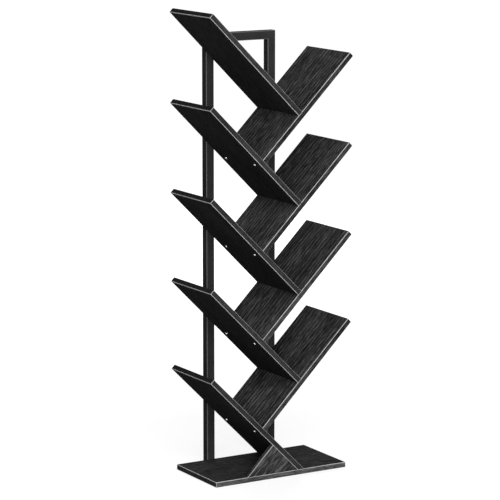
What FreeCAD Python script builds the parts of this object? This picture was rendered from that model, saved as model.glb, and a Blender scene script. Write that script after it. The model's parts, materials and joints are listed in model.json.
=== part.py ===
"""Tree shaped bookshelf: sloping boards in a zigzag trunk, on a base board and a rear frame of square tube.

The frame of the model has +X to the right, +Y to the back and +Z up, with its origin on the floor, in the
middle of the whole shelf.
"""
import FreeCAD, Part
import math
import os
import re
import Sketcher

# Driving dimensions, in millimetres and degrees.
SIZES = {
    # Boards: all nine are the same blank, and the lowest left one is longer on its upper face.
    "board_length": 400.0,
    "board_depth": 225.0,
    "board_thickness": 15.0,
    "edge_bevel": 0.8,
    "lean_angle": 45.0,
    "tier_pitch": 252.5,
    # Base board and the triangular panel between it and the lowest left board.
    "base_width": 428.0,
    "base_thickness": 15.0,
    "gusset_leg": 116.0,
    "gusset_thickness": 15.0,
    # Rear frame of square tube.
    "tube_side": 25.0,
    "tube_wall": 1.2,
    "tube_corner_radius": 2.0,
    "frame_width": 227.0,
    "frame_height": 1242.0,
    # Plugs in the lower ends of the uprights.
    "plug_flange": 3.0,
    "plug_insert": 18.0,
    # Screws that join the boards to each other: their small heads stand on the undersides.
    "joint_head_diameter": 7.0,
    "joint_head_height": 2.6,
    # Screws under the base and into the gusset: their flat heads are let in. All shanks are alike.
    "screw_diameter": 5.0,
    "screw_head_diameter": 9.0,
    "screw_head_height": 2.0,
    "socket_diameter": 4.6,
    "socket_depth": 1.8,
    "screw_length": 50.0,
    "screw_inset": 34.0,
    "foot_screw_length": 25.0,
    "foot_screw_offset": 5.0,
    # Button head screws that hold the boards to the frame.
    "frame_screw_length": 60.0,
    "button_diameter": 10.0,
    "button_height": 2.6,
    # Room between a screw or a plug and its hole.
    "fit_clearance": 0.1,
    "drill_overrun": 1.0,
}

LEFT_BOARDS = 5
RIGHT_BOARDS = 4
SOCKET_SIDES = 6
SCREW_SIDES = 16
SQUARE_ANGLE = 90
HALF_TURN = 180

# Share of its length that an edge must keep along a direction to count as running along it.
PARALLEL_SHARE = 0.999999

# Where the gusset's screws stand along its foot and along its leg.
GUSSET_FOOT_SHARE = 1 / 3
GUSSET_LEG_SHARE = 1 / 4

# Sizes and places worked out from the driving dimensions.
DERIVED = {
    "front": "-(board_depth + tube_side + button_height) / 2",
    "back": "front + board_depth",
    "tube_middle": "back + tube_side / 2",
    "frame_back": "back + tube_side",
    "right_lean": f"{SQUARE_ANGLE} - lean_angle",
    # Distance between the faces of two left boards, which a right board spans.
    "clear_span": "tier_pitch * cos(lean_angle) - board_thickness",
    "right_reach": "board_length - clear_span",
    "tree_width": "(board_length + board_thickness) * cos(lean_angle) + right_reach * sin(lean_angle)",
    "tip_x": "-tree_width / 2",
    "lowest_tip_z": "base_thickness + board_length * sin(lean_angle)",
    # The line where a left board's underside meets its right board.
    "elbow_x": "tip_x + board_length * cos(lean_angle)",
    "right_low_x": "elbow_x - clear_span * sin(lean_angle) + board_thickness * cos(lean_angle)",
    "right_low_drop": "clear_span * cos(lean_angle) + board_thickness * sin(lean_angle)",
    "foot_length": "board_length + board_thickness / tan(lean_angle)",
    "upright_x": "(frame_width - tube_side) / 2",
    "upright_length": "frame_height - plug_flange",
    "tube_bore": "tube_side - 2 * tube_wall",
    "bore_corner_radius": "tube_corner_radius - tube_wall",
    "plug_side": "tube_bore - 2 * fit_clearance",
    # Screws: where they sit in the boards' own directions, and how deep their holes are.
    "half_thickness": "board_thickness / 2",
    "pair_spacing": "board_depth - 2 * screw_inset",
    "landing_screw_x": "board_length - tier_pitch * sin(lean_angle) + half_thickness",
    "elbow_screw_x": "clear_span + half_thickness",
    "pilot_depth": "screw_length - board_thickness + fit_clearance",
    "frame_pilot_depth": "frame_screw_length - tube_side + fit_clearance",
    "foot_pilot_depth": "foot_screw_length - base_thickness + fit_clearance",
    "gusset_pilot_depth": "screw_length - base_thickness + fit_clearance",
    "screw_bore": "screw_diameter + 2 * fit_clearance",
    "head_bore": "screw_head_diameter + 2 * fit_clearance",
    "left_frame_screw_x": "(-upright_x - tip_x - half_thickness * sin(lean_angle)) / cos(lean_angle)",
    "right_frame_screw_x":
        "clear_span + (upright_x - elbow_x - half_thickness * cos(lean_angle)) / sin(lean_angle)",
    "left_frame_screw_z":
        "lowest_tip_z - left_frame_screw_x * sin(lean_angle) + half_thickness * cos(lean_angle)",
    "right_frame_screw_z":
        "base_thickness + tier_pitch - right_low_drop + right_frame_screw_x * cos(lean_angle)"
        " + half_thickness * sin(lean_angle)",
    "base_screw_z": "base_thickness / 2",
    # The gusset: its foot lies on the base, and its leg on the lowest left board.
    "gusset_foot": "gusset_leg / cos(lean_angle)",
    "gusset_middle": "front + gusset_thickness / 2",
    "gusset_screw_x": f"elbow_x - gusset_foot * {1 - GUSSET_FOOT_SHARE}",
    "gusset_screw_spacing": f"gusset_foot * {1 - 2 * GUSSET_FOOT_SHARE}",
    "leg_screw_x": f"board_length - gusset_leg * {1 - GUSSET_LEG_SHARE}",
}

doc = FreeCAD.newDocument("TreeBookshelf")
sub_parts = []


def make_sheet():
    """Puts the driving dimensions into the spreadsheet, one named cell each."""
    sheet = doc.addObject("Spreadsheet::Sheet", "Sizes")
    for row, (alias, size) in enumerate(SIZES.items(), start=1):
        sheet.set(f"A{row}", alias)
        sheet.set(f"B{row}", str(size))
        sheet.setAlias(f"B{row}", alias)
    doc.recompute()


def formula(text):
    """Spells a formula of sizes in the sheet's own cells."""
    def spell(match):
        word = match.group()
        if word in DERIVED:
            return f"({formula(DERIVED[word])})"
        if word in SIZES:
            return f"Sizes.{word}"
        return word
    return re.sub(r"[a-z][a-z_]*", spell, text)


def bind(target, **formulas):
    """Binds properties of an object to formulas. A name's double underscores stand for dots."""
    for path, text in formulas.items():
        target.setExpression(path.replace("__", "."), formula(text))


def origin(body, role):
    """Finds a plane or an axis of a body's own origin."""
    return next(feature for feature in body.Origin.OriginFeatures if feature.Role == role)


def new_body(label, x="0", y="0", z="0", turn="0", turn_axis=(0, 1, 0)):
    """Starts a sub-part at a place, turned about an axis."""
    body = doc.addObject("PartDesign::Body", label)
    body.Label = label
    body.Placement.Rotation = FreeCAD.Rotation(FreeCAD.Vector(*turn_axis), SQUARE_ANGLE)
    bind(body, Placement__Base__x=x, Placement__Base__y=y, Placement__Base__z=z)
    bind(body, Placement__Rotation__Angle=turn)
    sub_parts.append(body)
    return body


def new_sketch(body, name, role):
    """Starts a sketch on one of a body's own planes."""
    sketch = body.newObject("Sketcher::SketchObject", name)
    sketch.AttachmentSupport = (origin(body, role), [""])
    sketch.MapMode = "FlatFace"
    return sketch


def outline(body, name, role, corners):
    """Draws a closed outline through corners given as formulas."""
    sketch = new_sketch(body, name, role)
    count = len(corners)
    turns = [2 * math.pi * index / count for index in range(count)]
    starts = [FreeCAD.Vector(math.cos(turn), math.sin(turn)) for turn in turns]
    for index, start in enumerate(starts):
        sketch.addGeometry(Part.LineSegment(start, starts[(index + 1) % count]))
    for index in range(count):
        sketch.addConstraint(Sketcher.Constraint("Coincident", index, 2, (index + 1) % count, 1))
    for index, corner in enumerate(corners):
        pin_point(sketch, index, 1, starts[index], corner)
    return sketch


def guide_line(body, end):
    """Draws a line from a body's origin to a place in its XZ plane, for a pattern to follow."""
    sketch = new_sketch(body, "Guide", "XZ_Plane")
    unit = FreeCAD.Vector(1, 1)
    line = sketch.addGeometry(Part.LineSegment(FreeCAD.Vector(), unit), True)
    sketch.addConstraint(Sketcher.Constraint("Coincident", line, 1, -1, 1))
    pin_point(sketch, line, 2, unit, end)
    doc.recompute()
    return sketch, ["Axis0"]


def pin_point(sketch, geometry, end, start, corner):
    """Holds one end of a line at the place that two formulas give."""
    for kind, value, text in zip(("DistanceX", "DistanceY"), (start.x, start.y), corner):
        index = sketch.addConstraint(Sketcher.Constraint(kind, -1, 1, geometry, end, value))
        bind(sketch, **{f"Constraints[{index}]": text})


def square_corners(side):
    """Corners of a square of the given side about the origin."""
    low, high = f"-{side} / 2", f"{side} / 2"
    return [(low, low), (high, low), (high, high), (low, high)]


def pad(body, name, sketch, length, backwards=False):
    """Raises an outline into a solid."""
    feature = body.newObject("PartDesign::Pad", name)
    feature.Profile = sketch
    feature.Reversed = backwards
    bind(feature, Length=length)
    doc.recompute()
    return feature


def cut_through(body, name, sketch):
    """Cuts an outline through the whole solid, both ways."""
    feature = body.newObject("PartDesign::Pocket", name)
    feature.Profile = sketch
    feature.Type = "ThroughAll"
    feature.Midplane = True
    doc.recompute()
    return feature


def round_edges(body, name, base, chosen, **size):
    """Rounds or bevels the edges of a feature that the chosen test picks, by a Radius or a bevel's Size."""
    picked = [f"Edge{index}" for index, edge in enumerate(base.Shape.Edges, start=1) if chosen(edge)]
    feature = body.newObject("PartDesign::Fillet" if "Radius" in size else "PartDesign::Chamfer", name)
    feature.Base = (base, picked)
    bind(feature, **size)
    doc.recompute()
    return feature


def runs_along(edge, direction):
    """Tells if an edge is straight and runs along a direction."""
    if not isinstance(edge.Curve, Part.Line):
        return False
    return abs(edge.tangentAt(edge.FirstParameter) * direction) > PARALLEL_SHARE


def repeat(body, name, originals, ways):
    """Repeats features in one or two rows. Each way is a direction, a row's length and a count."""
    pattern = body.newObject("PartDesign::LinearPattern", name)
    pattern.Originals = originals
    for suffix, (direction, length, count) in zip(("", "2"), ways):
        setattr(pattern, f"Direction{suffix}", direction)
        setattr(pattern, f"Occurrences{suffix}", count)
        bind(pattern, **{f"Length{suffix}": length})
    body.Tip = pattern
    doc.recompute()
    return pattern


def prism(body, kind, name, sides, diameter, height):
    """Adds or subtracts a prism that stands on the XY plane. Many sides make it nearly round."""
    feature = body.newObject(f"PartDesign::{kind}Prism", name)
    feature.Polygon = sides
    bind(feature, Circumradius=f"{diameter} / 2", Height=height)
    return feature


def drill(body, name, place, depth, turn="0", turn_axis=(0, 1, 0), recessed=False):
    """Drills a screw's hole from a place along its turned axis, with a recess for the head if asked."""
    cutters = [prism(body, "Subtractive", f"{name}Hole", SCREW_SIDES, "screw_bore", depth)]
    if recessed:
        recess = prism(body, "Subtractive", f"{name}Recess", SCREW_SIDES, "head_bore", "screw_head_height")
        cutters.append(recess)
    for cutter in cutters:
        cutter.Placement.Rotation = FreeCAD.Rotation(FreeCAD.Vector(*turn_axis), SQUARE_ANGLE)
        x, y, z = place
        bind(cutter, Placement__Base__x=x, Placement__Base__y=y, Placement__Base__z=z)
        bind(cutter, Placement__Rotation__Angle=turn)
    doc.recompute()
    return cutters


def along_depth(body):
    """The row of two screws across a board's depth."""
    return (origin(body, "Y_Axis"), [""]), "pair_spacing", 2


def make_board(label, length_above, **place):
    """One board, lying along X with its underside on the XY plane."""
    body = new_body(label, y="front", **place)
    corners = [("0", "0"), ("board_length", "0"), (length_above, "board_thickness"), ("0", "board_thickness")]
    blank = pad(body, "Blank", outline(body, "Profile", "XZ_Plane", corners), "board_depth", backwards=True)
    return body, blank


def ease_board(body, blank, joined_at):
    """Bevels the long edges of a board, and those of its free end."""
    free_side = blank.Shape.BoundBox.Center.x

    def is_free(edge):
        middle = edge.CenterOfMass.x
        at_free_end = middle > free_side if joined_at == "start" else middle < free_side
        return runs_along(edge, FreeCAD.Vector(1, 0, 0)) or at_free_end

    round_edges(body, "EasedEdges", blank, is_free, Size="edge_bevel")


def make_left_board(number):
    """A left board: its lower end meets the right board of its own number, or the base."""
    is_lowest = number == LEFT_BOARDS
    label = f"left_board_{number}"
    height = f"lowest_tip_z + tier_pitch * {LEFT_BOARDS - number}"
    above = "foot_length" if is_lowest else "board_length"
    body, blank = make_board(label, above, x="tip_x", z=height, turn="lean_angle")
    ease_board(body, blank, joined_at="end")
    if number > 1:
        landing = drill(body, "Landing", ("landing_screw_x", "screw_inset", "0"),
                        "board_thickness + drill_overrun")
        repeat(body, "LandingPair", landing, [along_depth(body)])
    if is_lowest:
        foot = drill(body, "Foot", ("board_length + foot_screw_offset * cos(lean_angle)", "screw_inset",
                                    "foot_screw_offset * sin(lean_angle)"),
                     "foot_pilot_depth", turn="lean_angle", turn_axis=(0, -1, 0))
        repeat(body, "FootPair", foot, [along_depth(body)])
        drill(body, "Gusset", ("leg_screw_x", "gusset_thickness / 2", "board_thickness"),
              "board_thickness + drill_overrun", turn=f"{HALF_TURN}", turn_axis=(1, 0, 0), recessed=True)
    else:
        end = drill(body, "End", ("board_length", "screw_inset", "half_thickness"), "pilot_depth",
                    turn=f"{SQUARE_ANGLE}", turn_axis=(0, -1, 0))
        repeat(body, "EndPair", end, [along_depth(body)])
    drill(body, "Rear", ("left_frame_screw_x", "board_depth", "half_thickness"), "frame_pilot_depth",
          turn=f"{SQUARE_ANGLE}", turn_axis=(1, 0, 0))


def make_right_board(number):
    """A right board: its lower end stands on the next left board, and it carries the left board's end."""
    height = f"base_thickness + tier_pitch * {LEFT_BOARDS - number} - right_low_drop"
    body, blank = make_board(f"right_board_{number}", "board_length", x="right_low_x", z=height,
                             turn="right_lean", turn_axis=(0, -1, 0))
    ease_board(body, blank, joined_at="start")
    elbow = drill(body, "Elbow", ("elbow_screw_x", "screw_inset", "0"), "board_thickness + drill_overrun")
    repeat(body, "ElbowPair", elbow, [along_depth(body)])
    end = drill(body, "End", ("0", "screw_inset", "half_thickness"), "pilot_depth", turn=f"{SQUARE_ANGLE}")
    repeat(body, "EndPair", end, [along_depth(body)])
    drill(body, "Rear", ("right_frame_screw_x", "board_depth", "half_thickness"), "frame_pilot_depth",
          turn=f"{SQUARE_ANGLE}", turn_axis=(1, 0, 0))


def make_base_board():
    """The base board, which lies on the floor in front of the uprights."""
    body = new_body("base_board", y="front")
    low, high = "-base_width / 2", "base_width / 2"
    corners = [(low, "0"), (high, "0"), (high, "base_thickness"), (low, "base_thickness")]
    blank = pad(body, "Blank", outline(body, "Profile", "XZ_Plane", corners), "board_depth", backwards=True)
    round_edges(body, "EasedEdges", blank, lambda edge: True, Size="edge_bevel")
    through = "base_thickness + drill_overrun"
    foot = drill(body, "Foot", ("elbow_x + foot_screw_offset", "screw_inset", "0"), through, recessed=True)
    repeat(body, "FootPair", foot, [along_depth(body)])
    across = (origin(body, "X_Axis"), [""])
    gusset = drill(body, "Gusset", ("gusset_screw_x", "gusset_thickness / 2", "0"), through, recessed=True)
    repeat(body, "GussetPair", gusset, [(across, "gusset_screw_spacing", 2)])
    rear = drill(body, "Rear", ("-upright_x", "board_depth", "base_screw_z"), "frame_pilot_depth",
                 turn=f"{SQUARE_ANGLE}", turn_axis=(1, 0, 0))
    repeat(body, "RearPair", rear, [(across, "2 * upright_x", 2)])


def make_gusset():
    """The triangular panel: its foot on the base, its right leg under the lowest left board."""
    body = new_body("front_gusset", x="elbow_x", y="front", z="base_thickness")
    peak = ("-gusset_leg * cos(lean_angle)", "gusset_leg * sin(lean_angle)")
    corners = [("0", "0"), peak, ("-gusset_foot", "0")]
    blank = pad(body, "Blank", outline(body, "Profile", "XZ_Plane", corners), "gusset_thickness",
                backwards=True)

    def on_free_leg(edge):
        way = edge.tangentAt(edge.FirstParameter)
        return way.x * way.z > 0

    round_edges(body, "EasedEdges", blank, on_free_leg, Size="edge_bevel")
    across = (origin(body, "X_Axis"), [""])
    foot = drill(body, "Foot", ("gusset_screw_x - elbow_x", "gusset_thickness / 2", "0"),
                 "gusset_pilot_depth")
    repeat(body, "FootPair", foot, [(across, "gusset_screw_spacing", 2)])
    along_leg = "(board_length - leg_screw_x)"
    drill(body, "Leg", (f"-{along_leg} * cos(lean_angle)", "gusset_thickness / 2",
                        f"{along_leg} * sin(lean_angle)"),
          "pilot_depth", turn=f"{HALF_TURN} - lean_angle", turn_axis=(0, -1, 0))


def make_tube(label, length, mitres, **place):
    """A length of square tube along its own Z axis. Each mitre is the outline of an end that is cut off."""
    body = new_body(label, y="tube_middle", **place)
    blank = pad(body, "Blank", outline(body, "Section", "XY_Plane", square_corners("tube_side")), length)
    lengthwise = FreeCAD.Vector(0, 0, 1)
    round_edges(body, "OuterCorners", blank, lambda edge: runs_along(edge, lengthwise),
                Radius="tube_corner_radius")
    hollow = cut_through(body, "Bore", outline(body, "BoreSection", "XY_Plane", square_corners("tube_bore")))

    def in_bore(edge):
        middle = edge.CenterOfMass
        mid_wall = (SIZES["tube_side"] - SIZES["tube_wall"]) / 2
        return runs_along(edge, lengthwise) and max(abs(middle.x), abs(middle.y)) < mid_wall

    round_edges(body, "BoreCorners", hollow, in_bore, Radius="bore_corner_radius")
    for number, corners in enumerate(mitres, start=1):
        cut_through(body, f"Mitre{number}", outline(body, f"MitreOutline{number}", "XZ_Plane", corners))
    return body


def make_upright(label, side, screw_height, screws):
    """An upright: mitred at the top towards the other one, and drilled through for the frame screws."""
    outer, inner = f"{side} * tube_side / 2", f"{-side} * tube_side / 2"
    mitre = [(outer, "upright_length"), (inner, "upright_length"), (inner, "upright_length - tube_side")]
    body = make_tube(label, "upright_length", [mitre], x=f"{side} * upright_x", z="plug_flange")
    upwards = (origin(body, "Z_Axis"), [""])
    through = "tube_side + 2 * drill_overrun"
    behind = "tube_side / 2 + drill_overrun"
    drill(body, "BaseScrew", ("0", behind, "base_screw_z - plug_flange"), through,
          turn=f"{SQUARE_ANGLE}", turn_axis=(1, 0, 0))
    board = drill(body, "BoardScrew", ("0", behind, f"{screw_height} - plug_flange"), through,
                  turn=f"{SQUARE_ANGLE}", turn_axis=(1, 0, 0))
    repeat(body, "BoardScrews", board, [(upwards, f"tier_pitch * {screws - 1}", screws)])


def make_top_rail():
    """The rail across the top of the frame, mitred at both ends."""
    ends = []
    for end, inwards in (("0", 1), ("frame_width", -1)):
        low = f"{end} + {inwards} * tube_side"
        ends.append([("-tube_side / 2", end), ("tube_side / 2", end), ("tube_side / 2", low)])
    make_tube("top_rail", "frame_width", ends, x="-frame_width / 2", z="frame_height - tube_side / 2",
              turn=f"{SQUARE_ANGLE}")


def make_foot_plug(label, side):
    """A plug in an upright's lower end. Its flange stands on the floor, and a frame screw crosses it."""
    body = new_body(label, x=f"{side} * upright_x", y="tube_middle")
    flange = pad(body, "Flange", outline(body, "FlangeSection", "XY_Plane", square_corners("tube_side")),
                 "plug_flange")
    upright = FreeCAD.Vector(0, 0, 1)
    round_edges(body, "FlangeCorners", flange, lambda edge: runs_along(edge, upright),
                Radius="tube_corner_radius")
    insert = pad(body, "Insert", outline(body, "InsertSection", "XY_Plane", square_corners("plug_side")),
                 "plug_flange + plug_insert")
    round_edges(body, "InsertCorners", insert,
                lambda edge: runs_along(edge, upright) and edge.CenterOfMass.z > SIZES["plug_flange"],
                Radius="bore_corner_radius")
    drill(body, "BaseScrew", ("0", "tube_side / 2 + drill_overrun", "base_screw_z"),
          "tube_side + 2 * drill_overrun", turn=f"{SQUARE_ANGLE}", turn_axis=(1, 0, 0))


def make_screws(label, length, ways, head_diameter="screw_head_diameter", head_height="screw_head_height",
                guide=None, **place):
    """A group of like screws along their own Z axis, each with a six-sided socket in its head."""
    body = new_body(label, **place)
    head = prism(body, "Additive", "Head", SCREW_SIDES, head_diameter, head_height)
    shank = prism(body, "Additive", "Shank", SCREW_SIDES, "screw_diameter", length)
    socket = prism(body, "Subtractive", "Socket", SOCKET_SIDES, "socket_diameter", "socket_depth")
    doc.recompute()
    rows = [((guide_line(body, guide) if way == "guide" else (origin(body, way), [""])), spacing, count)
            for way, spacing, count in ways]
    if rows:
        repeat(body, "Group", [head, shank, socket], rows)


def make_board_screws():
    """Screws that join the boards to each other, with heads that stand on the undersides."""
    pair = ("Y_Axis", "pair_spacing", 2)
    tiers = ("guide", f"tier_pitch * {RIGHT_BOARDS - 1}", RIGHT_BOARDS)
    length = "joint_head_height + screw_length"
    heads = {"head_diameter": "joint_head_diameter", "head_height": "joint_head_height"}
    landing_z = "lowest_tip_z - landing_screw_x * sin(lean_angle)"
    make_screws("right_board_screws", length, [pair, tiers],
                guide=("-tier_pitch * sin(lean_angle)", "tier_pitch * cos(lean_angle)"),
                x="tip_x + landing_screw_x * cos(lean_angle) - joint_head_height * sin(lean_angle)",
                y="front + screw_inset",
                z=f"{landing_z} - joint_head_height * cos(lean_angle)",
                turn="lean_angle", **heads)
    elbow_z = "base_thickness + tier_pitch - right_low_drop + elbow_screw_x * cos(lean_angle)"
    make_screws("left_board_screws", length, [pair, tiers],
                guide=("tier_pitch * cos(lean_angle)", "tier_pitch * sin(lean_angle)"),
                x="right_low_x + elbow_screw_x * sin(lean_angle) + joint_head_height * cos(lean_angle)",
                y="front + screw_inset",
                z=f"{elbow_z} - joint_head_height * sin(lean_angle)",
                turn="right_lean", turn_axis=(0, -1, 0), **heads)


def make_base_screws():
    """Screws from below the base, and the one through the lowest left board into the gusset."""
    make_screws("foot_screws", "foot_screw_length", [("Y_Axis", "pair_spacing", 2)],
                x="elbow_x + foot_screw_offset", y="front + screw_inset")
    make_screws("gusset_base_screws", "screw_length", [("X_Axis", "gusset_screw_spacing", 2)],
                x="gusset_screw_x", y="gusset_middle")
    make_screws("gusset_board_screw", "screw_length", [],
                x="tip_x + leg_screw_x * cos(lean_angle) + board_thickness * sin(lean_angle)",
                y="gusset_middle",
                z="lowest_tip_z - leg_screw_x * sin(lean_angle) + board_thickness * cos(lean_angle)",
                turn=f"{HALF_TURN} - lean_angle", turn_axis=(0, -1, 0))


def make_frame_screws():
    """Screws from behind, through the uprights into the rear edges of the boards and of the base."""
    forwards = {"y": "frame_back + button_height", "turn": f"{SQUARE_ANGLE}", "turn_axis": (1, 0, 0),
                "head_diameter": "button_diameter", "head_height": "button_height"}
    for label, side, height, count in (("left_frame_screws", -1, "left_frame_screw_z", LEFT_BOARDS),
                                       ("right_frame_screws", 1, "right_frame_screw_z", RIGHT_BOARDS)):
        row = ("Y_Axis", f"tier_pitch * {count - 1}", count)
        make_screws(label, "button_height + frame_screw_length", [row], x=f"{side} * upright_x", z=height,
                    **forwards)
    make_screws("base_frame_screws", "button_height + frame_screw_length", [("X_Axis", "2 * upright_x", 2)],
                x="-upright_x", z="base_screw_z", **forwards)


def check_model():
    """Stops if anything failed, is empty or cut nothing."""
    doc.recompute()
    for item in doc.Objects:
        if "Invalid" in item.State or "Error" in item.State:
            raise RuntimeError(f"{item.Label} failed: {item.State}")
        is_cut = item.TypeId == "PartDesign::Pocket" or item.TypeId.startswith("PartDesign::Subtractive")
        if is_cut and item.Shape.Volume >= item.BaseFeature.Shape.Volume:
            raise RuntimeError(f"{item.Label} cuts nothing")
    for body in sub_parts:
        if body.Shape.isNull() or not body.Shape.isValid() or not body.Shape.Solids:
            raise RuntimeError(f"{body.Label} has no valid solid")


def write_parts():
    """Writes each sub-part to its own file."""
    os.makedirs("parts", exist_ok=True)
    for body in sub_parts:
        body.Shape.exportStep(f"parts/{body.Label}.step")
        box = body.Shape.BoundBox
        print(f"{body.Label}: {len(body.Shape.Solids)} solid(s), {body.Shape.Volume:.0f} mm3,"
              f" x {box.XMin:.1f} to {box.XMax:.1f}, y {box.YMin:.1f} to {box.YMax:.1f},"
              f" z {box.ZMin:.1f} to {box.ZMax:.1f}")


make_sheet()
make_base_board()
for board_number in range(1, LEFT_BOARDS + 1):
    make_left_board(board_number)
for board_number in range(1, RIGHT_BOARDS + 1):
    make_right_board(board_number)
make_gusset()
make_upright("left_upright", -1, "left_frame_screw_z", LEFT_BOARDS)
make_upright("right_upright", 1, "right_frame_screw_z", RIGHT_BOARDS)
make_top_rail()
make_foot_plug("left_foot_plug", -1)
make_foot_plug("right_foot_plug", 1)
make_board_screws()
make_base_screws()
make_frame_screws()
check_model()
write_parts()
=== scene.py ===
"""Looks of the tree shaped bookshelf: black wood-grain boards, a powder-coated frame and bright screws."""
import json
import math
import bpy
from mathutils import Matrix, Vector


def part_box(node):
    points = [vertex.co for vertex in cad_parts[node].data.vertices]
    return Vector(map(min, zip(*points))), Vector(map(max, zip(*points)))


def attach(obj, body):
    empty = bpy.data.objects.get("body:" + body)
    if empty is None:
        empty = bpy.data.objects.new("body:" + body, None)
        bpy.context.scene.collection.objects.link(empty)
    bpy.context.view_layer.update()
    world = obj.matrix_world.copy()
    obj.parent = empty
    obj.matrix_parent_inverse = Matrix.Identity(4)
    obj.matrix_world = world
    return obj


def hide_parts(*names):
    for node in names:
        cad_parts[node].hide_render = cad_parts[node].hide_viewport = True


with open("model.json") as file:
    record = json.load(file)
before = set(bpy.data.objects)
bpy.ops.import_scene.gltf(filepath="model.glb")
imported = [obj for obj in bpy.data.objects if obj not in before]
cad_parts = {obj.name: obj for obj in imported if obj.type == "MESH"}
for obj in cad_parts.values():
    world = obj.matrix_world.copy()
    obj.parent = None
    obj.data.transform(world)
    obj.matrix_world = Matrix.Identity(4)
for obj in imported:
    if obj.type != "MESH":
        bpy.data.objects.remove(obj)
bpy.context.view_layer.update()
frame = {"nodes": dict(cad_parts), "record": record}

# How the boards lie: left boards fall to the right, right boards rise to the right, both at this angle.
LEAN = math.radians(45)

# The front of the boards, and the step from one board to the next, square to its grain.
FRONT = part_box("left_board_1")[0][1]
STEP_ACROSS = (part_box("left_board_1")[1][2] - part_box("left_board_2")[1][2]) * math.cos(LEAN)

# Noise patterns: repeats per metre along each axis, the number of finer layers, and how much these count.
# On a board, the first axis runs along the grain. Most of a pattern's values lie within the span.
STREAKS = ((30.0, 230.0, 230.0), 4.0, 0.65)
FIBRES = ((60.0, 700.0, 700.0), 3.0, 0.55)
PORES = ((60.0, 1300.0, 1300.0), 1.0, 0.55)
CLOUDS = ((5.0, 16.0, 16.0), 2.0, 0.55)
COAT_PEEL = ((900.0, 900.0, 900.0), 2.0, 0.55)
COAT_CLOUDS = ((9.0, 9.0, 9.0), 3.0, 0.55)
ZINC_CLOUDS = ((420.0, 420.0, 420.0), 3.0, 0.55)
PLASTIC_GRAIN = ((1400.0, 1400.0, 1400.0), 2.0, 0.55)
NOISE_SPAN = (0.3, 0.7)

# What bends the streaks, and the year rings with their stretch along the grain.
WAVER = {"Scale": 14.0, "Detail": 2.0}
RINGS = {"Scale": 22.0, "Distortion": 9.0, "Detail": 3.0, "Detail_Scale": 0.9}
RING_STRETCH = (0.1, 1.0, 1.0)

# How much each pattern counts in the grain, how much grain and clouds count in the tone, and how dark the
# pores are.
STREAK_SHARE, FIBRE_SHARE, RING_SHARE = 0.54, 0.36, 0.1
GRAIN_SHARE, CLOUD_SHARE = 0.82, 0.18
PORE_SPAN, PORE_LIGHT = (0.34, 0.44), (0.35, 1.0)

# Tones, as places on a pattern's scale and greys or colours.
OPEN_GRAIN = [(0.39, 0.0065), (0.5, 0.0315), (0.61, 0.105)]
# The left boards get a darker, flatter copy of the same laminate: partly a finer grain, and partly painted
# shade for the undersides that these boards show.
FINE_GRAIN_AND_PAINTED_SHADE = [(0.37, 0.015), (0.5, 0.027), (0.63, 0.042)]
DARK_GRAIN = [(0.37, 0.011), (0.5, 0.029), (0.63, 0.059)]
COAT_TONES = [(0.3, 0.019), (0.7, 0.031)]
ZINC_TONES = [(0.3, (0.62, 0.62, 0.64)), (0.7, (0.8, 0.8, 0.81))]
PLASTIC_TONES = [(0.3, 0.014), (0.7, 0.024)]

# Each kind of board: the turn that lays the grain along it, the tones of its print, how far its grain wavers,
# in metres, and how light its front and back edges (band) and its ends are beside the print.
BOARD_LOOKS = {
    "left": {"turn": -LEAN, "tones": FINE_GRAIN_AND_PAINTED_SHADE, "waver": 0.02, "band": 1.05, "ends": 0.55},
    "right": {"turn": LEAN, "tones": OPEN_GRAIN, "waver": 0.02, "band": 0.75, "ends": 1.0},
    "gusset": {"turn": LEAN, "tones": OPEN_GRAIN, "waver": 0.004, "band": 1.05, "ends": 1.0},
    "base": {"turn": 0.0, "tones": DARK_GRAIN, "waver": 0.02, "band": 2.9, "ends": 1.0},
}

# How rough the surfaces are, from the low to the high end of a pattern, and their relief, as its strength and
# its height in metres. The laminate, the coat and the floor have no gloss.
LAMINATE_ROUGHNESS, LAMINATE_RELIEF = (0.42, 0.6), (0.3, 0.0004)
COAT_ROUGHNESS, COAT_RELIEF = (0.5, 0.62), (0.18, 0.0002)
ZINC_ROUGHNESS = (0.22, 0.36)
PLASTIC_ROUGHNESS, PLASTIC_RELIEF = 0.6, (0.2, 0.0002)
FLOOR_ROUGHNESS = 1.0
NO_GLOSS = 0.0

# Painted highlights along the edges of the print and of the coat, where rounded edges would catch the light:
# the line's width in metres, its colours, and how faint it gets.
HIGHLIGHT_LINE_WIDTH = 0.0014
PAINTED_HIGHLIGHT_LAMINATE = (0.44, 0.44, 0.446, 1.0)
PAINTED_HIGHLIGHT_COAT = (0.115, 0.115, 0.117, 1.0)
PAINTED_HIGHLIGHT_SPAN, PAINTED_HIGHLIGHT_SHARE = (0.3, 0.65), (0.6, 1.0)

# How much of a normal lies along one axis: more than this on the flat faces of a board and of a tube, but not
# on their edges, and less than the last one on faces that look sideways, up or down.
FLAT_BOARD = 0.9
SQUARE_BOARD = 0.95
FLAT_TUBE = 0.985
SIDEWAYS = 0.5

# The screws, in metres: the shank, the socket and its rim, how far one screw reaches sideways, and how
# closely two heights agree. Heads are (radius, height), and the dome is in shares of these, from the socket
# outwards.
SHANK_RADIUS = 0.0025
SOCKET_RADIUS = 0.0023
SOCKET_DEPTH = 0.0018
SOCKET_RIM = 0.0002
SCREW_REACH = 0.012
SAME_HEIGHT = 0.00001
JOINT_HEAD = (0.0035, 0.0026)
FRAME_HEAD = (0.005, 0.0026)
DOME = [(0.66, 0.0), (0.8, 0.1), (0.92, 0.28), (0.985, 0.52), (1.0, 0.75), (1.0, 0.97), (0.97, 1.0)]
SIDES = 24
SOCKET_SIDES = 6

# The floor: its size in metres, its grey, and its glow by the distance from the object, where 1 is white.
FLOOR_SIZE = 160.0
FLOOR_GREY = (0.28, 0.28, 0.28, 1.0)
GLOW_SPAN, GLOW = (0.6, 3.0), (0.75, 1.0)
WHITE = (1.0, 1.0, 1.0, 1.0)

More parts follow.
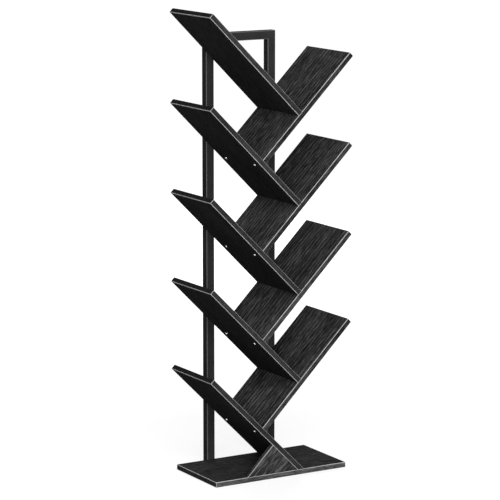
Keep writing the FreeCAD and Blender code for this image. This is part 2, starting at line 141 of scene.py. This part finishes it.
# The soft lamps, as place, size and power, and the even light of the room, where 1 is white.
LAMPS = {
    "key": ((-1.6, -4.4, 2.6), 5.0, 460.0),
    "top": ((-0.6, 0.2, 4.4), 2.6, 25.0),
    "back": ((1.4, 4.4, 2.4), 2.4, 170.0),
}
LAMP_AIM = (0.0, 0.0, 0.65)
ROOM_LIGHT = 0.11

# Camera, at the photograph's viewing angle, in metres and degrees. The dip is from the level view.
CAMERA_PLACE = (-3.5296, -5.8697, 1.8773)
CAMERA_TURN = 30.807
CAMERA_DIP = 10.294
CAMERA_LEVEL = 90.0
CAMERA_REACH = 300.0
PICTURE_WIDTH = 500
FOCAL_PIXELS = 2464.45
SENSOR_WIDTH = 36.0

# Where Blender's mix node keeps its sockets for colours.
MIX_FIRST, MIX_SECOND, MIX_RESULT = 6, 7, 2


def new_material(name):
    """A material with its node tree and its main shader."""
    material = bpy.data.materials.new(name)
    material.use_nodes = True
    tree = material.node_tree
    return material, tree, tree.nodes["Principled BSDF"]


def plug(tree, socket, value):
    """Links a socket to another one, or sets its value."""
    if isinstance(value, bpy.types.NodeSocket):
        tree.links.new(value, socket)
    else:
        socket.default_value = value


def node(tree, kind, settings=None, **inputs):
    """Adds a node. Settings are its properties, and inputs are sockets by name, as values or links."""
    made = tree.nodes.new(kind)
    for key, value in (settings or {}).items():
        setattr(made, key, value)
    for key, value in inputs.items():
        plug(tree, made.inputs[key.replace("_", " ")], value)
    return made


def math_node(tree, operation, first, second=0.0):
    """The result of a calculation on two numbers."""
    made = node(tree, "ShaderNodeMath", {"operation": operation})
    plug(tree, made.inputs[0], first)
    plug(tree, made.inputs[1], second)
    return made.outputs[0]


def weighted_sum(tree, *terms):
    """The sum of (value, weight) pairs."""
    total = 0.0
    for value, weight in terms:
        total = math_node(tree, "ADD", math_node(tree, "MULTIPLY", value, weight), total)
    return total


def spread(tree, value, old, new):
    """A number moved from an old span to a new one, and held within it."""
    made = node(tree, "ShaderNodeMapRange", Value=value, From_Min=old[0], From_Max=old[1], To_Min=new[0],
                To_Max=new[1])
    return made.outputs[0]


def scaled(tree, vector, factor):
    """A vector or colour times a number."""
    made = node(tree, "ShaderNodeVectorMath", {"operation": "SCALE"}, Scale=factor)
    plug(tree, made.inputs[0], vector)
    return made.outputs[0]


def moved(tree, vector, offset):
    """A vector moved by another one."""
    made = node(tree, "ShaderNodeVectorMath", {"operation": "ADD"})
    plug(tree, made.inputs[0], vector)
    plug(tree, made.inputs[1], offset)
    return made.outputs[0]


def rotated(tree, vector, turn):
    """A vector turned round the axis that runs from front to back."""
    made = node(tree, "ShaderNodeVectorRotate", {"rotation_type": "Y_AXIS"}, Vector=vector, Angle=turn)
    return made.outputs[0]


def stretched(tree, vector, scale):
    """A vector with each of its parts times a number of its own."""
    return node(tree, "ShaderNodeMapping", {"vector_type": "POINT"}, Vector=vector, Scale=scale).outputs[0]


def split(tree, vector):
    """The X, Y and Z of a vector."""
    return node(tree, "ShaderNodeSeparateXYZ", Vector=vector).outputs


def mixed(tree, share, first, second):
    """A first colour, and a second one where the share is 1."""
    made = node(tree, "ShaderNodeMix", {"data_type": "RGBA"}, Factor=share)
    plug(tree, made.inputs[MIX_FIRST], first)
    plug(tree, made.inputs[MIX_SECOND], second)
    return made.outputs[MIX_RESULT]


def ramp(tree, factor, stops):
    """A colour or grey that follows a factor through stops of (place, colour or grey)."""
    made = node(tree, "ShaderNodeValToRGB", Fac=factor)
    elements = made.color_ramp.elements
    while len(elements) < len(stops):
        elements.new(1.0)
    for element, (place, colour) in zip(elements, stops):
        element.position = place
        element.color = (*colour, 1.0) if isinstance(colour, tuple) else (colour, colour, colour, 1.0)
    return made.outputs["Color"]


def noise(tree, place, pattern):
    """Noise of a pattern at a place."""
    scale, detail, roughness = pattern
    made = node(tree, "ShaderNodeTexNoise", Vector=stretched(tree, place, scale), Scale=1.0, Detail=detail,
                Roughness=roughness)
    return made.outputs["Fac"]


def bump(tree, shader, height, relief):
    """Small relief on a surface, where the height of a pattern is."""
    strength, distance = relief
    made = node(tree, "ShaderNodeBump", Strength=strength, Distance=distance, Height=height)
    plug(tree, shader.inputs["Normal"], made.outputs[0])


def object_place(tree):
    """The place on the object, in metres."""
    return node(tree, "ShaderNodeTexCoord").outputs["Object"]


def face_normal(tree):
    """The direction that a face looks in."""
    return node(tree, "ShaderNodeNewGeometry").outputs["True Normal"]


def share_along(tree, direction, axis):
    """How much of a direction lies along an axis."""
    return math_node(tree, "ABSOLUTE", split(tree, direction)[axis])


def on_edge(tree, normal, flat):
    """1 where less than the flat share of a normal lies along each axis, else 0."""
    widest = 0.0
    for axis in "XYZ":
        widest = math_node(tree, "MAXIMUM", share_along(tree, normal, axis), widest)
    return math_node(tree, "LESS_THAN", widest, flat)


def near(tree, value, target, reach):
    """1 where a value lies within reach of a target, else 0."""
    apart = math_node(tree, "ABSOLUTE", math_node(tree, "SUBTRACT", value, target))
    return math_node(tree, "LESS_THAN", apart, reach)


def wood_print(tree, along, waver):
    """The wood print of the laminate, along the X of a place: its streaks, grain, tone and pores."""
    wave = node(tree, "ShaderNodeTexNoise", Vector=along, **WAVER).outputs["Color"]
    streaks = noise(tree, moved(tree, along, scaled(tree, wave, waver)), STREAKS)
    fibres = noise(tree, along, FIBRES)
    rings = node(tree, "ShaderNodeTexWave", {"bands_direction": "Y"},
                 Vector=stretched(tree, along, RING_STRETCH), **RINGS).outputs["Fac"]
    grain = weighted_sum(tree, (streaks, STREAK_SHARE), (fibres, FIBRE_SHARE), (rings, RING_SHARE))
    tone = weighted_sum(tree, (grain, GRAIN_SHARE), (noise(tree, along, CLOUDS), CLOUD_SHARE))
    pores = spread(tree, noise(tree, along, PORES), PORE_SPAN, PORE_LIGHT)
    return streaks, grain, tone, pores


def painted_highlight_line(tree, place, along, normal, face, tip):
    """1 on the painted highlight along the edges, else 0: on the small bevel along the front, and on a narrow
    line beside it, which also follows the tips on the left."""
    at = split(tree, place)
    front = near(tree, at["Y"], FRONT, HIGHLIGHT_LINE_WIDTH)
    sideways = math_node(tree, "LESS_THAN", share_along(tree, normal, "Y"), SIDEWAYS)
    below = math_node(tree, "SUBTRACT", split(tree, along)["Z"], face - HIGHLIGHT_LINE_WIDTH)
    within_step = math_node(tree, "FLOORED_MODULO", below, STEP_ACROSS)
    strip = math_node(tree, "LESS_THAN", within_step, 2 * HIGHLIGHT_LINE_WIDTH)
    pairs = [
        (on_edge(tree, normal, FLAT_BOARD), near(tree, at["Y"], FRONT, 2 * HIGHLIGHT_LINE_WIDTH)),
        (front, sideways),
        (front, strip),
    ]
    if tip is not None:
        pairs.append((strip, near(tree, at["X"], tip, HIGHLIGHT_LINE_WIDTH)))
    line = 0.0
    for first, second in pairs:
        line = math_node(tree, "MAXIMUM", math_node(tree, "MULTIPLY", first, second), line)
    return line


def laminate(kind, face, tip=None):
    """Black wood-grain laminate of a kind of board. Face is where a face of one board lies, square to the
    grain, and tip is where the boards end on the left."""
    look = BOARD_LOOKS[kind]
    material, tree, shader = new_material(f"laminate_{kind}")
    place = object_place(tree)
    along = rotated(tree, place, look["turn"])
    normal = rotated(tree, face_normal(tree), look["turn"])
    streaks, grain, tone, shade = wood_print(tree, along, look["waver"])
    for axis, light in (("Y", look["band"]), ("X", look["ends"])):
        square = spread(tree, share_along(tree, normal, axis), (FLAT_BOARD, SQUARE_BOARD), (1.0, light))
        shade = math_node(tree, "MULTIPLY", shade, square)
    printed = scaled(tree, ramp(tree, tone, look["tones"]), shade)
    # Painted highlight: a light line along the front edges and the left tips, standing in for light caught by
    # rounded edges.
    painted_highlight = math_node(tree, "MULTIPLY", painted_highlight_line(tree, place, along, normal, face, tip),
                     spread(tree, streaks, PAINTED_HIGHLIGHT_SPAN, PAINTED_HIGHLIGHT_SHARE))
    plug(tree, shader.inputs["Base Color"], mixed(tree, painted_highlight, printed, PAINTED_HIGHLIGHT_LAMINATE))
    plug(tree, shader.inputs["Roughness"], spread(tree, grain, NOISE_SPAN, LAMINATE_ROUGHNESS))
    shader.inputs["Specular IOR Level"].default_value = NO_GLOSS
    bump(tree, shader, grain, LAMINATE_RELIEF)
    return material


def powder_coat():
    """Black powder coat with a fine orange-peel texture, and a painted highlight on its rounded corners."""
    material, tree, shader = new_material("powder_coat")
    place = object_place(tree)
    peel = noise(tree, place, COAT_PEEL)
    colour = ramp(tree, noise(tree, place, COAT_CLOUDS), COAT_TONES)
    # Painted highlight: the rounded corners of the tubes are coloured lighter, as if they caught the light.
    corner_highlight = on_edge(tree, face_normal(tree), FLAT_TUBE)
    plug(tree, shader.inputs["Base Color"], mixed(tree, corner_highlight, colour, PAINTED_HIGHLIGHT_COAT))
    plug(tree, shader.inputs["Roughness"], spread(tree, peel, NOISE_SPAN, COAT_ROUGHNESS))
    shader.inputs["Specular IOR Level"].default_value = NO_GLOSS
    bump(tree, shader, peel, COAT_RELIEF)
    return material


def zinc():
    """Bright zinc plate with faint clouding."""
    material, tree, shader = new_material("zinc")
    clouds = noise(tree, object_place(tree), ZINC_CLOUDS)
    plug(tree, shader.inputs["Base Color"], ramp(tree, clouds, ZINC_TONES))
    plug(tree, shader.inputs["Roughness"], spread(tree, clouds, NOISE_SPAN, ZINC_ROUGHNESS))
    shader.inputs["Metallic"].default_value = 1.0
    return material


def moulded_plastic():
    """Black moulded plastic with a fine matt grain."""
    material, tree, shader = new_material("plastic")
    grain = noise(tree, object_place(tree), PLASTIC_GRAIN)
    plug(tree, shader.inputs["Base Color"], ramp(tree, grain, PLASTIC_TONES))
    shader.inputs["Roughness"].default_value = PLASTIC_ROUGHNESS
    bump(tree, shader, grain, PLASTIC_RELIEF)
    return material


def make_laminates():
    """The laminate of each kind of board."""
    left_low, left_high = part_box("left_board_1")
    right_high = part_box("right_board_1")[1]
    base_low, base_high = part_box("base_board")
    rise = (base_high[2] - base_low[2]) * math.sin(LEAN)
    left_face = (left_low[0] + left_high[2] - rise) * math.sin(LEAN)
    right_face = (right_high[2] - right_high[0] + rise) * math.sin(LEAN)
    return {
        "left": laminate("left", left_face, left_low[0]),
        "right": laminate("right", right_face),
        "gusset": laminate("gusset", right_face),
        "base": laminate("base", base_high[2], base_low[0]),
    }


def dress_nodes(bright):
    """Gives each node of the frame its material, with a given one for the screws."""
    boards = make_laminates()
    others = {"black_powder_coat": powder_coat(), "bright_zinc": bright, "black_plastic": moulded_plastic()}
    for part in frame["record"]["subparts"]:
        name, slot = part["node"], part["material_slot"]
        if slot in others:
            material = others[slot]
        else:
            material = next(boards[kind] for kind in boards if kind in name)
        mesh = frame["nodes"][name].data
        mesh.materials.clear()
        mesh.materials.append(material)


def screw_spots(name, axis):
    """Where a node's screws start, and how long they are, found from its own solid model."""
    spots = []
    for vertex in frame["nodes"][name].data.vertices:
        height = vertex.co.dot(axis)
        flat = vertex.co - axis * height
        for spot in spots:
            if (spot["flats"][0] - flat).length < SCREW_REACH:
                break
        else:
            spot = {"heights": [], "flats": []}
            spots.append(spot)
        spot["heights"].append(height)
        spot["flats"].append(flat)
    found = []
    for spot in spots:
        top = min(spot["heights"])
        ring = [flat for flat, height in zip(spot["flats"], spot["heights"]) if height < top + SAME_HEIGHT]
        middle = sum(ring, Vector()) / len(ring)
        found.append((middle + axis * top, max(spot["heights"]) - top))
    return found


def round_ring(radius, depth):
    """Points round a screw at a depth below the top of its head."""
    turns = [2 * math.pi * index / SIDES for index in range(SIDES)]
    return [(radius * math.cos(turn), radius * math.sin(turn), depth) for turn in turns]


def socket_ring(radius, depth):
    """As many points on the flat sides of a socket."""
    side = 2 * math.pi / SOCKET_SIDES
    ring = []
    for x, y, z in round_ring(radius, depth):
        turn = math.atan2(y, x)
        share = math.cos(side / 2) / math.cos(turn % side - side / 2)
        ring.append((share * x, share * y, z))
    return ring


def screw_rings(head, length):
    """The rings of a screw: from the floor of its socket, over its domed head, to its blunt point."""
    radius, height = head
    rings = [socket_ring(SOCKET_RADIUS, depth) for depth in (SOCKET_DEPTH, SOCKET_RIM, 0.0)]
    rings += [round_ring(radius * outwards, height * down) for outwards, down in DOME]
    rings += [round_ring(SHANK_RADIUS, height), round_ring(SHANK_RADIUS, length - SHANK_RADIUS)]
    rings.append(round_ring(SHANK_RADIUS / 2, length))
    return rings


def make_screws(name, axis, head, material):
    """Replaces a node's plain screws by round ones with domed heads."""
    axis = Vector(axis).normalized()
    sideways = axis.orthogonal().normalized()
    upwards = axis.cross(sideways)
    vertices, faces = [], []
    for start, length in screw_spots(name, axis):
        first = len(vertices)
        rings = screw_rings(head, length)
        for ring in rings:
            vertices.extend(start + sideways * x + upwards * y + axis * z for x, y, z in ring)
        last = first + (len(rings) - 1) * SIDES
        for low in range(first, last, SIDES):
            for index in range(SIDES):
                after = (index + 1) % SIDES
                faces.append((low + index, low + SIDES + index, low + SIDES + after, low + after))
        faces.append(tuple(range(first, first + SIDES)))
        faces.append(tuple(reversed(range(last, last + SIDES))))
    mesh = bpy.data.meshes.new(f"{name}_detail")
    mesh.from_pydata(vertices, [], faces)
    mesh.validate()
    mesh.update()
    mesh.materials.append(material)
    piece = bpy.data.objects.new(f"{name}_detail", mesh)
    bpy.context.scene.collection.objects.link(piece)
    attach(piece, "root")
    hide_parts(name)


def seen_directly(tree):
    """1 for what the eye sees, straight or in a mirror or through glass, else 0."""
    rays = node(tree, "ShaderNodeLightPath").outputs
    mirrored = math_node(tree, "MAXIMUM", rays["Is Glossy Ray"], rays["Is Transmission Ray"])
    return math_node(tree, "MAXIMUM", rays["Is Camera Ray"], mirrored)


def make_floor():
    """A wide pale floor that keeps the shadow and reads as white to the eye and in reflections."""
    bpy.ops.mesh.primitive_plane_add(size=FLOOR_SIZE)
    floor = bpy.context.object
    floor.name = "floor"
    material, tree, shader = new_material("floor")
    shader.inputs["Base Color"].default_value = FLOOR_GREY
    shader.inputs["Roughness"].default_value = FLOOR_ROUGHNESS
    shader.inputs["Specular IOR Level"].default_value = NO_GLOSS
    away = node(tree, "ShaderNodeVectorMath", {"operation": "LENGTH"})
    plug(tree, away.inputs[0], object_place(tree))
    level = spread(tree, away.outputs["Value"], GLOW_SPAN, GLOW)
    glow = node(tree, "ShaderNodeEmission", Color=WHITE,
                Strength=math_node(tree, "MULTIPLY", seen_directly(tree), level))
    both = node(tree, "ShaderNodeAddShader")
    plug(tree, both.inputs[0], shader.outputs[0])
    plug(tree, both.inputs[1], glow.outputs[0])
    plug(tree, tree.nodes["Material Output"].inputs["Surface"], both.outputs[0])
    floor.data.materials.append(material)


def make_lamp(name, place, size, power):
    """A square soft lamp at a place, turned towards the middle of the object."""
    lamp = bpy.data.lights.new(name, "AREA")
    lamp.shape = "SQUARE"
    lamp.size = size
    lamp.energy = power
    stand = bpy.data.objects.new(name, lamp)
    stand.location = place
    stand.rotation_euler = (Vector(LAMP_AIM) - Vector(place)).to_track_quat("-Z", "Y").to_euler()
    bpy.context.scene.collection.objects.link(stand)


def light_scene():
    """Soft studio light: a wide key from the front left, weaker lamps above and behind, and an even room."""
    for name, (place, size, power) in LAMPS.items():
        make_lamp(name, place, size, power)
    world = bpy.data.worlds.new("studio")
    world.use_nodes = True
    tree = world.node_tree
    background = tree.nodes["Background"]
    background.inputs["Color"].default_value = WHITE
    strength = spread(tree, seen_directly(tree), (0.0, 1.0), (ROOM_LIGHT, 1.0))
    plug(tree, background.inputs["Strength"], strength)
    scene = bpy.context.scene
    scene.world = world
    scene.view_settings.view_transform = "Standard"


def make_camera():
    """The camera at the photograph's viewing angle."""
    camera = bpy.data.cameras.new("camera")
    camera.sensor_width = SENSOR_WIDTH
    camera.lens = SENSOR_WIDTH * FOCAL_PIXELS / PICTURE_WIDTH
    camera.clip_end = CAMERA_REACH
    stand = bpy.data.objects.new("camera", camera)
    stand.location = CAMERA_PLACE
    stand.rotation_euler = (math.radians(CAMERA_LEVEL - CAMERA_DIP), 0.0, math.radians(-CAMERA_TURN))
    bpy.context.scene.collection.objects.link(stand)
    bpy.context.scene.camera = stand


bright = zinc()
dress_nodes(bright)
make_screws("right_board_screws", (math.sin(LEAN), 0.0, math.cos(LEAN)), JOINT_HEAD, bright)
make_screws("left_board_screws", (-math.cos(LEAN), 0.0, math.sin(LEAN)), JOINT_HEAD, bright)
for row in ("left_frame_screws", "right_frame_screws", "base_frame_screws"):
    make_screws(row, (0.0, -1.0, 0.0), FRAME_HEAD, bright)
make_floor()
light_scene()
make_camera()
